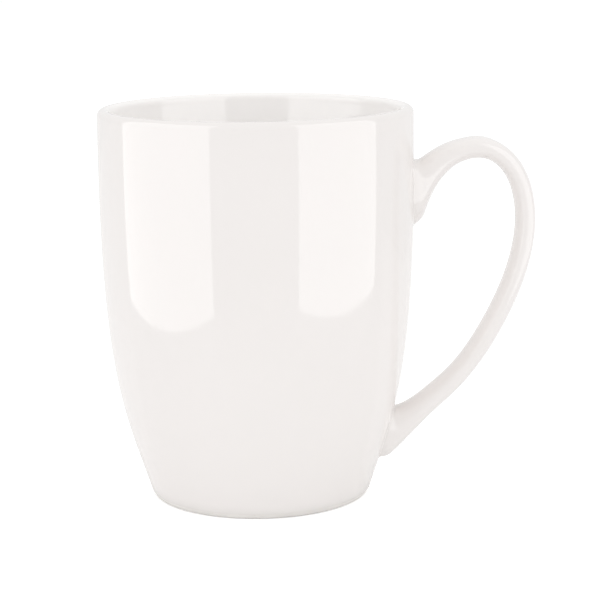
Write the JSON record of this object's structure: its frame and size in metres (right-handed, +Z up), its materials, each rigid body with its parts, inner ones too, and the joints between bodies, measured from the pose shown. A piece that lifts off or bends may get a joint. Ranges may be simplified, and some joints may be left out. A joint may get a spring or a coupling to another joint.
{
  "type": "mug",
  "caption": "Glazed ceramic mug with a tapered round cup, a rounded lip, an oval loop handle and a bare foot ring.",
  "frame": {"origin": "centre of the foot ring, on the surface that the mug stands on", "axes": "+Z up along the cup's axis, +X from the axis through the handle, +Y across the handle"},
  "size_m": [0.1168, 0.0842, 0.105],
  "materials": {
    "fired_clay": "matte",
    "fired_slip": "matte",
    "white_glaze": "gloss"
  },
  "bodies": {
    "root": {"cup_body": "fired_clay", "handle": "fired_clay", "upper_slip_joint": "fired_slip", "lower_slip_joint": "fired_slip", "outer_glaze": "white_glaze", "inner_glaze": "white_glaze", "underside_glaze": "white_glaze"}
  },
  "joints": []
}
